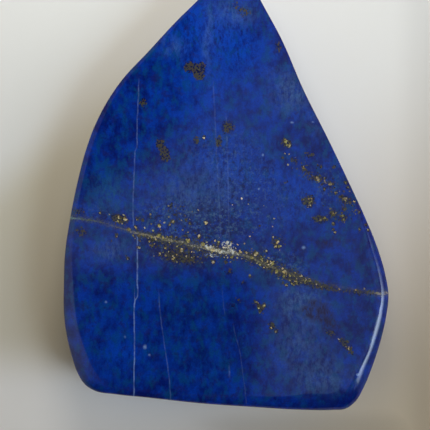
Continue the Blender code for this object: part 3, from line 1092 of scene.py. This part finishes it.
def make_floor_material():
    """A plain pale surface with painted shade: darker towards the foot, in the lower right and around the
    foot, with a painted shadow left of the slab. It can't be seen from below.
    """
    material, graph, shader = new_material("floor")
    across, up, _ = graph.parts_of(place_in_stone(graph))
    # Painted shade, darker towards the slab's foot
    colour = graph.mix(graph.ramp(up, *PAINTED_SHADE_ALONG), FLOOR_PALE, FLOOR_PAINTED_SHADE_NEAR)
    # Painted shade in the corner to the right of the foot
    corner = graph.math("SUBTRACT", graph.times(across, CORNER_SHADE_WAY[0]), graph.times(up, CORNER_SHADE_WAY[1]))
    colour = graph.mix(graph.ramp(corner, *CORNER_SHADE_SPAN), colour, FLOOR_PAINTED_CORNER_SHADE)
    # A painted shadow to the left of the slab, along its upper left edge
    above_line = graph.math("SUBTRACT", up, graph.math("MULTIPLY_ADD", across, *SHADE_LINE))
    shaded = graph.times(
        graph.ramp(above_line, *SHADE_EDGE), graph.ramp(up, *SHADE_FOOT), graph.ramp(across, *SHADE_SIDE)
    )
    colour = graph.vector("MULTIPLY", colour, graph.mix(shaded, NO_TINT, PAINTED_FLOOR_SHADOW))
    # Painted shade far to the right of the slab and just below its foot
    aside = graph.times(graph.ramp(across, *DIM_RIGHT), graph.ramp(up, *DIM_RIGHT_ALONG))
    below = graph.times(graph.ramp(up, *DIM_BELOW), graph.ramp(across, *DIM_BELOW_ACROSS))
    colour = graph.mix(graph.math("MAXIMUM", aside, below), colour, FLOOR_PAINTED_DIMMING)
    graph.feed(shader.inputs["Base Color"], colour)
    shader.inputs["Roughness"].default_value = FLOOR_ROUGHNESS
    gone = graph.add("ShaderNodeBsdfTransparent")
    either = graph.add("ShaderNodeMixShader")
    graph.feed(either.inputs["Fac"], graph.add("ShaderNodeNewGeometry").outputs["Backfacing"])
    graph.feed(either.inputs[1], shader.outputs["BSDF"])
    graph.feed(either.inputs[2], gone.outputs["BSDF"])
    graph.feed(material.node_tree.nodes["Material Output"].inputs["Surface"], either.outputs["Shader"])
    return material


def make_floor():
    """A wide floor that is open under the slab, so that light from below reaches the slab's back."""
    stations = outline_stations()
    form = bmesh.new()
    spokes = []
    for station, move in zip(stations, inward_moves(stations)):
        foot_inset = edge_section(station.y, station.z, station.w)[-1][0]
        inner = station.xy + move * (foot_inset - FLOOR_GAP)
        outer = HEART + (inner - HEART).normalized() * FLOOR_REACH
        spokes.append([form.verts.new((place.x * MM, place.y * MM, 0.0)) for place in (inner, outer)])
    for left, right in zip(spokes, spokes[1:] + spokes[:1]):
        form.faces.new((left[0], right[0], right[1], left[1]))
    mesh = bpy.data.meshes.new("floor")
    form.to_mesh(mesh)
    form.free()
    mesh.materials.append(make_floor_material())
    floor = placed("floor", mesh)


def make_camera():
    data = bpy.data.cameras.new("camera")
    data.sensor_width = SENSOR_WIDTH
    data.lens = SENSOR_WIDTH * (CAMERA_HEIGHT - THICKNESS) / (PHOTO_WIDTH_PX * FACE_MM_PER_PX)
    data.clip_start = CAMERA_NEAR * MM
    camera = placed("camera", data)
    camera.location = Vector((CAMERA_X, CAMERA_Y, CAMERA_HEIGHT)) * MM
    bpy.context.scene.camera = camera


def make_soft_light(name, azimuth, elevation, distance, size, radiance, colour):
    """A square light that faces the slab and shows in no reflection, of a given radiance."""
    data = bpy.data.lights.new(name, "AREA")
    data.size = size
    data.energy = radiance * size * size * math.pi
    data.color = colour
    light = placed(name, data)
    around, above = math.radians(azimuth), math.radians(elevation)
    away = Vector((math.cos(around) * math.cos(above), math.sin(around) * math.cos(above), math.sin(above)))
    light.location = away * distance
    light.rotation_mode = "QUATERNION"
    light.rotation_quaternion = away.to_track_quat("Z", "Y")
    light.visible_camera = False
    light.visible_glossy = False


def between(graph, angle, sides):
    """1 between two soft sides and 0 outside them, from the angles in degrees where each starts and ends."""
    return graph.times(*(graph.ramp(angle, math.radians(start), math.radians(end)) for start, end in sides))


def with_window(graph, light, around, height):
    """Adds the window, which is brightest along its upper edge."""
    edge = [(math.radians(azimuth), math.cos(math.radians(from_up))) for azimuth, from_up in WINDOW_EDGE]
    below_edge = graph.math("SUBTRACT", graph.curve(around, edge), height)
    brightness = graph.times(graph.ramp(below_edge, 0.0, WINDOW_BLUR), graph.ramp(below_edge, *WINDOW_FADE))
    window = graph.times(between(graph, around, WINDOW_SIDES), brightness)
    return graph.vector("MULTIPLY_ADD", window, WINDOW_LIGHT, light)


def with_ceiling(graph, light, across, up, height):
    """Adds the patchy ceiling straight above, as the photograph shows it on the front."""
    overhead = graph.math("MAXIMUM", height, LEAST_HEIGHT)
    aside = graph.math("DIVIDE", across, overhead)
    ahead = graph.math("DIVIDE", up, overhead)
    softness = REFLECTION_EDGE_PX * REFLECTION_PER_PX
    patch = 0.0
    for corners_px in DARK_REFLECTIONS_PX:
        corners = [
            ((px - PHOTO_CENTRE_PX) * REFLECTION_PER_PX, (PHOTO_CENTRE_PX - py) * REFLECTION_PER_PX)
            for px, py in corners_px
        ]
        patch = graph.math("MAXIMUM", patch, graph.inside(aside, ahead, corners, softness))
    ceiling = graph.mix(patch, CEILING_PALE, CEILING_DARK)
    from_top = graph.vector("LENGTH", graph.from_parts(aside, ahead, 0.0))
    return graph.mix(graph.ramp(from_top, *CEILING_EDGE), light, ceiling)


def make_world():
    """The room's light: a window on the right, dim walls, and a ceiling that is patchy straight above."""
    world = bpy.data.worlds.new("studio")
    world.use_nodes = True
    graph = Graph(world.node_tree)
    across, up, height = graph.parts_of(graph.add("ShaderNodeTexCoord").outputs["Generated"])
    around = graph.math("ARCTAN2", up, across)
    around_left = graph.math("ARCTAN2", up, graph.times(across, -1.0))
    light = graph.mix(graph.ramp(up, *ROOM_FADE), ROOM_DARK, ROOM_WARM)
    light = graph.mix(between(graph, around_left, LEFT_WALL_SIDES), light, LEFT_WALL)
    high = graph.ramp(height, *(math.cos(math.radians(from_up)) for from_up in RIGHT_CEILING_END))
    right = graph.times(between(graph, around, RIGHT_CEILING_SIDES), high)
    light = graph.mix(right, light, RIGHT_CEILING)
    light = with_window(graph, light, around, height)
    light = with_ceiling(graph, light, across, up, height)
    graph.feed(world.node_tree.nodes["Background"].inputs["Color"], light)
    bpy.context.scene.world = world


bpy.context.scene.view_settings.view_transform = "Standard"
stone = make_stone()
stone.data.materials.append(make_lapis())
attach(stone, "root")
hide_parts(NODE)
make_floor()
make_camera()
make_world()
for soft_light in SOFT_LIGHTS:
    make_soft_light(*soft_light)
